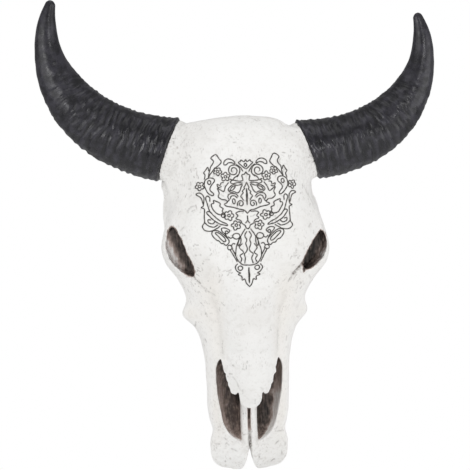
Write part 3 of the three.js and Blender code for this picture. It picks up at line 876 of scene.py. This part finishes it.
def ink_ribbons(made, lines):
    """Ink that lies in the engraved grooves as thin raised lines."""
    shape = bmesh.new()
    shape.from_mesh(made.data)
    skin = BVHTree.FromBMesh(shape)
    points, faces = [], []

    def on_bone(u, v, up):
        hit = skin.ray_cast(Vector((u * MM, -1, v * MM)), Vector((0, 1, 0)))[0]
        return (u, -hit.y / MM + up, v)

    section = ((-1, 0.05), (-0.5, 0.2), (0.5, 0.2), (1, 0.05), (0.5, -0.5), (-0.5, -0.5))
    for line in lines:
        way = np.gradient(line, axis=0)
        across = np.stack([-way[:, 1], way[:, 0]], 1) / np.linalg.norm(way, axis=1)[:, None]
        step = np.arange(len(line))
        wide = INK_HALF * (1 + 0.14 * np.sin(0.7 * step + line[0, 0]) + 0.08 * np.sin(1.9 * step))
        start = len(points)
        for (u, v), (du, dv), half in zip(line, across, wide):
            for offset, up in section:
                points.append(on_bone(u + offset * half * du, v + offset * half * dv, up))
        for i in range(len(line) - 1):
            a = start + 6 * i
            faces += [[a + k, a + (k + 1) % 6, a + 6 + (k + 1) % 6, a + 6 + k] for k in range(6)]
        last = len(points) - 6
        faces += [list(range(start, start + 6)), list(range(last + 5, last - 1, -1))]
    shape.free()
    ribbons = make_object("engraving_lines", points, faces)
    ribbons.data.shade_smooth()
    return ribbons


# Horns


def build_horn(name, side, x, z, slant, length, start, end, girth):
    """Curved horn with wavy growth rings that fade towards a smooth round tip."""
    along = np.concatenate([np.linspace(0, 0.98, 400), np.linspace(0.98, 0.999, 15)[1:]])
    turn = np.linspace(0, 2 * math.pi, 151)[1:]

    def heading(share):
        return np.radians(start + (end - start) * share**HORN_TURNING)

    gap = np.diff(along, prepend=0)
    between = heading(along - gap / 2)
    at_x = x + TOUCH_GAP * math.cos(FACE_TILT) + np.cumsum(gap * length * np.cos(between))
    at_z = z + TOUCH_GAP * math.sin(FACE_TILT) + np.cumsum(gap * length * np.sin(between))
    settled = np.minimum(1, along * length / HORN_SETTLE)
    face = heading(along) + (FACE_TILT - math.radians(start)) * (1 - settled)
    beyond = np.clip(1 - (1 - along) * length / HORN_ROUND, 0, 1)
    radius = girth * horn_taper(1 - along) * np.sqrt(1 - beyond**2)
    depth = HORN_DEPTH + HORN_SWEEP * along**2
    axis = list(zip(at_x, depth, at_z, face))
    leaning = slant * (1 - settled)

    def rings(reach):
        rows = zip(axis, reach, leaning)
        return np.array([horn_ring(side, *at, wide, turn, lean) for at, wide, lean in rows])

    smooth_skin = rings(np.repeat(radius[:, None], len(turn), 1)).reshape(-1, 3)
    run = np.repeat(along * length, len(turn))
    share = np.repeat(along, len(turn))
    around = np.tile(turn, len(along)) * np.repeat(radius, len(turn))
    unrolled = np.stack([run, 0.28 * around, np.zeros_like(run)], 1)
    wander = 5 * bumps(smooth_skin, 26, 11) + 2.6 * bumps(smooth_skin, 11, 12)
    coarse = (0.5 + 0.5 * np.cos(2 * math.pi * (run + wander) / RING_PITCH)) ** 1.3
    patchy = 0.5 + 0.5 * np.clip(1.8 * bumps(smooth_skin, 19, 14), -1, 1)
    wrinkles = bumps(unrolled, 5, 13) + 0.3 * bumps(unrolled, 2.4, 16)
    near_base = 1 - smooth(0.3, 0.68, share)
    ringed = 1 - smooth(0.5, 0.85, share)
    lift = near_base * (0.5 + 0.5 * patchy) * 1.3 * (coarse - 0.7) + ringed * 0.75 * wrinkles
    lift += (0.2 + 0.9 * ringed * (1 - 0.5 * near_base)) * bumps(smooth_skin, 12, 15)
    lift += 0.9 * np.exp(-(((run - 4) / 3) ** 2)) - 2.4 * np.clip(1 - run / 2.6, 0, 1) ** 2
    lift *= smooth(1.0, 0.9, share)
    reach = np.repeat(radius[:, None], len(turn), 1) + lift.reshape(len(along), -1)
    made = make_object(name, *loft(rings(reach)))
    # Painted shade: darker colour where the ringed surface sinks into grooves
    painted_groove_shade = ringed * smooth(0.2, -0.9, lift)
    write_value(made.data, "painted_groove_shade", np.concatenate([painted_groove_shade, [0, 0]]))
    write_value(made.data, "base", np.concatenate([smooth(60, 0, run), [1, 0]]))
    made.data.shade_smooth()
    return made


# Hanger screws


def build_screw(name, x):
    """Flush screw head with one slot."""
    turn = np.linspace(0, 2 * math.pi, 49)[1:]
    rings = []
    for radius, depth in ((0.4, 0.1), (2.4, 0.13), (3.2, 0.2), (3.6, 0.29), (3.6, 1.5)):
        across, up = radius * np.cos(turn), radius * np.sin(turn)
        rings.append(np.stack([x + across, np.full(len(turn), depth), HANGER_Z + up], 1))
    made = make_object(name, *loft(rings))
    corners = ((-1, -0.45), (-1, 0.45), (0.9, 0.45), (0.9, -0.45))
    slot = [[(x + end, depth, HANGER_Z + up) for depth, up in corners] for end in (-2.7, 2.7)]
    combine(made, "DIFFERENCE", slot)
    return made


# Materials


class Paint:
    """A material with a few short ways to add and join nodes."""

    def __init__(self, name):
        self.material = bpy.data.materials.new(name)
        self.material.use_nodes = True
        self.tree = self.material.node_tree
        self.shader = self.tree.nodes["Principled BSDF"]
        self.place = self.add("ShaderNodeTexCoord").outputs["Object"]

    def add(self, kind, **settings):
        made = self.tree.nodes.new(kind)
        for name, value in settings.items():
            setattr(made, name, value)
        return made

    def join(self, start, end):
        self.tree.links.new(start, end)

    def set(self, name, value):
        self.shader.inputs[name].default_value = value

    def drive(self, name, value):
        self.join(value, self.shader.inputs[name])

    def field(self, name):
        return self.add("ShaderNodeAttribute", attribute_name=name).outputs["Fac"]

    def noise(self, size, detail=3.0, stretch=(1, 1, 1), turn=(0, 0, 0)):
        """Noise value with bumps of a size in millimetres."""
        mapping = self.add("ShaderNodeMapping")
        mapping.inputs["Rotation"].default_value = [math.radians(a) for a in turn]
        mapping.inputs["Scale"].default_value = stretch
        self.join(self.place, mapping.inputs["Vector"])
        made = self.add("ShaderNodeTexNoise")
        made.inputs["Scale"].default_value = 1000 / size
        made.inputs["Detail"].default_value = detail
        self.join(mapping.outputs["Vector"], made.inputs["Vector"])
        return made.outputs["Fac"]

    def ease(self, value, low, high, start=0.0, end=1.0):
        made = self.add("ShaderNodeMapRange", interpolation_type="SMOOTHSTEP")
        for name, number in (("From Min", low), ("From Max", high), ("To Min", start), ("To Max", end)):
            made.inputs[name].default_value = number
        self.join(value, made.inputs["Value"])
        return made.outputs["Result"]

    def math(self, how, a, b):
        made = self.add("ShaderNodeMath", operation=how)
        for value, socket in ((a, made.inputs[0]), (b, made.inputs[1])):
            if isinstance(value, (int, float)):
                socket.default_value = value
            else:
                self.join(value, socket)
        return made.outputs["Value"]

    def mix(self, share, a, b):
        """Colour between a and b, each a colour or a node output."""
        made = self.add("ShaderNodeMix", data_type="RGBA")
        self.join(share, made.inputs[0])
        for value, socket in ((a, made.inputs[6]), (b, made.inputs[7])):
            if isinstance(value, tuple):
                socket.default_value = (*value, 1)
            else:
                self.join(value, socket)
        return made.outputs[2]

    def bump(self, height, distance, strength):
        made = self.add("ShaderNodeBump")
        made.inputs["Distance"].default_value = distance * MM
        made.inputs["Strength"].default_value = strength
        self.join(height, made.inputs["Height"])
        self.drive("Normal", made.outputs["Normal"])


# Brown of the hollows: from and to which strength of the wash each tone comes in
WASH_TONES = (
    (0.02, 0.16, (0.5, 0.405, 0.37)),
    (0.14, 0.34, (0.25, 0.195, 0.17)),
    (0.32, 0.62, (0.1, 0.077, 0.067)),
    (0.6, 1.05, (0.018, 0.013, 0.011)),
)


def bone_paint():
    paint = Paint("bone_resin")
    cloudy = paint.ease(paint.noise(60, 4), 0.35, 0.7)
    colour = paint.mix(cloudy, (0.835, 0.83, 0.815), (0.785, 0.775, 0.755))
    colour = paint.mix(paint.field("warm"), colour, (0.83, 0.803, 0.76))
    # Painted light: paler colour on steep sides
    colour = paint.mix(paint.field("painted_side_light"), colour, (0.93, 0.92, 0.9))
    blotches = paint.math("MULTIPLY", paint.ease(paint.noise(8, 4), 0.5, 0.75), 0.3)
    colour = paint.mix(blotches, colour, (0.62, 0.6, 0.57))
    rough_bone = paint.field("rough_bone")
    grain = paint.ease(paint.noise(3.2, 5), 0.52, 0.74)
    dirty = paint.math("ADD", paint.math("MULTIPLY", rough_bone, 0.3), 0.18)
    colour = paint.mix(paint.math("MULTIPLY", grain, dirty), colour, (0.45, 0.41, 0.37))
    patches = paint.ease(paint.noise(20, 3), 0.5, 0.62)
    marks = []
    for turn in ((0, 35, 0), (0, -50, 0), (0, 80, 0)):
        marks.append(paint.ease(paint.noise(2.0, 2, (1, 1, 0.22), turn), 0.64, 0.72))
    marked = paint.math("MAXIMUM", paint.math("MAXIMUM", marks[0], marks[1]), marks[2])
    marked = paint.math("MULTIPLY", marked, patches)
    colour = paint.mix(paint.math("MULTIPLY", marked, 0.4), colour, (0.3, 0.27, 0.245))
    broken = paint.ease(paint.noise(2.4, 3), 0.3, 0.6, 0.35, 1.0)
    # Dirt in nicks, pits, cracks and seams, with painted shade along the nose creases
    dirt_and_crease_shade = paint.math("MULTIPLY", paint.field("dirt_and_crease_shade"), broken)
    colour = paint.mix(dirt_and_crease_shade, colour, (0.16, 0.14, 0.125))
    sponge = paint.math("MULTIPLY", paint.math("SUBTRACT", paint.noise(5, 5), 0.5), 1.1)
    hairs = paint.math("SUBTRACT", paint.noise(2.4, 4, (1, 1, 0.14), (0, 12, 0)), 0.5)
    uneven = paint.math("ADD", sponge, paint.math("MULTIPLY", hairs, 2.2))
    # Brown wash of the sockets and nose, with painted shade under the nasal plate
    wash = paint.math("MULTIPLY", paint.field("wash"), paint.math("ADD", uneven, 1.0))
    for low, high, brown in WASH_TONES:
        colour = paint.mix(paint.ease(wash, low, high), colour, brown)
    paint.drive("Base Color", colour)
    paint.drive("Roughness", paint.ease(paint.noise(9, 4), 0.3, 0.7, 0.5, 0.68))
    relief = paint.math("SUBTRACT", paint.noise(4, 6), paint.math("MULTIPLY", marked, 0.5))
    paint.bump(relief, 0.4, 0.35)
    return paint.material


def ink_paint():
    paint = Paint("engraving_ink")
    thin = paint.ease(paint.noise(5, 4), 0.45, 0.75)
    colour = paint.mix(thin, (0.03, 0.026, 0.023), (0.14, 0.125, 0.11))
    paint.drive("Base Color", colour)
    paint.drive("Roughness", paint.ease(paint.noise(3, 3), 0.3, 0.7, 0.55, 0.8))
    return paint.material


def horn_paint():
    paint = Paint("horn_resin")
    tone = paint.ease(paint.noise(13, 5), 0.38, 0.64)
    colour = paint.mix(tone, (0.0085, 0.008, 0.0115), (0.03, 0.0285, 0.038))
    # Painted shade in the grooves between the growth rings
    painted_groove_shade = paint.math("MULTIPLY", paint.field("painted_groove_shade"), 0.8)
    colour = paint.mix(painted_groove_shade, colour, (0.004, 0.004, 0.0055))
    dust = paint.math("MULTIPLY", paint.ease(paint.noise(1.8, 4), 0.58, 0.72), 0.3)
    colour = paint.mix(dust, colour, (0.075, 0.074, 0.085))
    paint.drive("Base Color", colour)
    worn_gloss = paint.math("MULTIPLY", paint.field("base"), -0.1)
    gloss = paint.ease(paint.noise(6, 4), 0.3, 0.7, 0.25, 0.42)
    paint.drive("Roughness", paint.math("ADD", gloss, worn_gloss))
    paint.bump(paint.noise(2.6, 5), 0.35, 0.5)
    return paint.material


def steel_paint():
    paint = Paint("hanger_steel")
    paint.set("Metallic", 1.0)
    zinc = paint.ease(paint.noise(7, 4), 0.35, 0.7)
    paint.drive("Base Color", paint.mix(zinc, (0.52, 0.52, 0.51), (0.64, 0.64, 0.63)))
    brushed = paint.noise(1.2, 3, (0.05, 1, 1))
    paint.drive("Roughness", paint.ease(brushed, 0.3, 0.7, 0.3, 0.46))
    return paint.material


def floor_paint():
    paint = Paint("floor")
    tone = paint.ease(paint.noise(400, 3), 0.3, 0.7)
    paint.drive("Base Color", paint.mix(tone, (0.86, 0.86, 0.86), (0.83, 0.83, 0.83)))
    paint.set("Roughness", 0.9)
    return paint.material


def dress(made, material):
    """Gives a piece its material and lets it go with the object."""
    made.data.materials.clear()
    made.data.materials.append(material)
    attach(made, "root")


lines = ornament_lines()
skull = build_skull()
refine_panel(skull.data)
finish_surface(skull, lines)
ribbons = ink_ribbons(skull, lines)
left_horn = build_horn("horn_left_rings", **LEFT_HORN)
right_horn = build_horn("horn_right_rings", **RIGHT_HORN)

dress(skull, bone_paint())
dress(ribbons, ink_paint())
black = horn_paint()
dress(left_horn, black)
dress(right_horn, black)
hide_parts("skull")
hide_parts("horn_left")
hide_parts("horn_right")
steel = steel_paint()
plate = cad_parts["hanger_plate"]
plate.data.materials.clear()
plate.data.materials.append(steel)
for name, x in (("screw_left", -SCREW_X), ("screw_right", SCREW_X)):
    dress(build_screw(name, x), steel)


# Floor, light and camera

FLOOR_REACH, FLOOR_TOP, FLOOR_UNDER = 1900, -900, -930
# Strength of the white surround as soft light, in reflections and as a background
SURROUND, SURROUND_GLOSS, SURROUND_SEEN = 0.59, 0.3, 1.0
# Soft lights: place and size in metres, and power
LIGHTS = {
    "key": ((-1.25, -1.75, 0.3), 0.5, 5),
    "second key": ((0.6, -2.1, 0.4), 0.4, 4.5),
    "fill": ((0.3, -1.8, -1.0), 1.4, 5.5),
    "left": ((-1.5, -0.9, 0.2), 1.2, 6),
    "right": ((1.5, -0.9, 0.0), 1.2, 7.5),
    "top": ((0, -0.6, 1.6), 1.2, 3.5),
}
LIGHT_AIM = (0, -0.08, 0)
CAMERA_YAW, CAMERA_ROLL = math.radians(4), math.radians(-1.75)
CAMERA_DISTANCE, CAMERA_AIM = 2.0, (0, -0.11, 0)
SENSOR, LENS, SHIFT_X, SHIFT_Y = 36, 115, -0.026, 0.033


def add_floor():
    turn = np.linspace(0, 2 * math.pi, 97)[1:]
    across, ahead = FLOOR_REACH * np.cos(turn), FLOOR_REACH * np.sin(turn)
    rings = [np.stack([across, ahead, np.full(len(turn), z)], 1) for z in (FLOOR_TOP, FLOOR_UNDER)]
    floor = make_object("floor", *loft(rings))
    floor.data.materials.append(floor_paint())


def add_light(name, place, size, power):
    """Soft square light aimed at the middle of the face."""
    lamp = bpy.data.lights.new(name, "AREA")
    lamp.size = size
    lamp.energy = power
    made = bpy.data.objects.new(name, lamp)
    made.location = place
    made.rotation_euler = (Vector(LIGHT_AIM) - made.location).to_track_quat("-Z", "Y").to_euler()
    bpy.context.scene.collection.objects.link(made)


def add_world():
    """White surround for the eye and for soft light, dimmer in reflections."""
    world = bpy.data.worlds.new("white")
    world.use_nodes = True
    tree = world.node_tree
    rays = tree.nodes.new("ShaderNodeLightPath")
    surround = tree.nodes["Background"]
    surround.inputs["Color"].default_value = (1, 1, 1, 1)
    surround.inputs["Strength"].default_value = SURROUND
    for ray, strength in (("Is Glossy Ray", SURROUND_GLOSS), ("Is Camera Ray", SURROUND_SEEN)):
        other = tree.nodes.new("ShaderNodeBackground")
        other.inputs["Color"].default_value = (1, 1, 1, 1)
        other.inputs["Strength"].default_value = strength
        choose = tree.nodes.new("ShaderNodeMixShader")
        tree.links.new(rays.outputs[ray], choose.inputs[0])
        tree.links.new(surround.outputs[0], choose.inputs[1])
        tree.links.new(other.outputs[0], choose.inputs[2])
        surround = choose
    tree.links.new(surround.outputs[0], tree.nodes["World Output"].inputs["Surface"])
    bpy.context.scene.world = world


def add_camera():
    """Camera two metres off, a little to the viewer's left and rolled as in the photograph."""
    ahead = Vector((math.sin(CAMERA_YAW), math.cos(CAMERA_YAW), 0))
    level = Vector((math.cos(CAMERA_YAW), -math.sin(CAMERA_YAW), 0))
    right = level * math.cos(CAMERA_ROLL) + Vector((0, 0, math.sin(CAMERA_ROLL)))
    up = Vector((0, 0, math.cos(CAMERA_ROLL))) - level * math.sin(CAMERA_ROLL)
    lens = bpy.data.cameras.new("camera")
    lens.sensor_width = SENSOR
    lens.lens = LENS
    lens.shift_x = SHIFT_X
    lens.shift_y = SHIFT_Y
    lens.dof.use_dof = False
    made = bpy.data.objects.new("camera", lens)
    turn = Matrix((right, up, -ahead)).transposed().to_4x4()
    made.matrix_world = Matrix.Translation(Vector(CAMERA_AIM) - ahead * CAMERA_DISTANCE) @ turn
    bpy.context.scene.collection.objects.link(made)
    bpy.context.scene.camera = made


add_floor()
add_world()
for name, (place, size, power) in LIGHTS.items():
    add_light(name, place, size, power)
add_camera()
bpy.context.scene.view_settings.view_transform = "Standard"
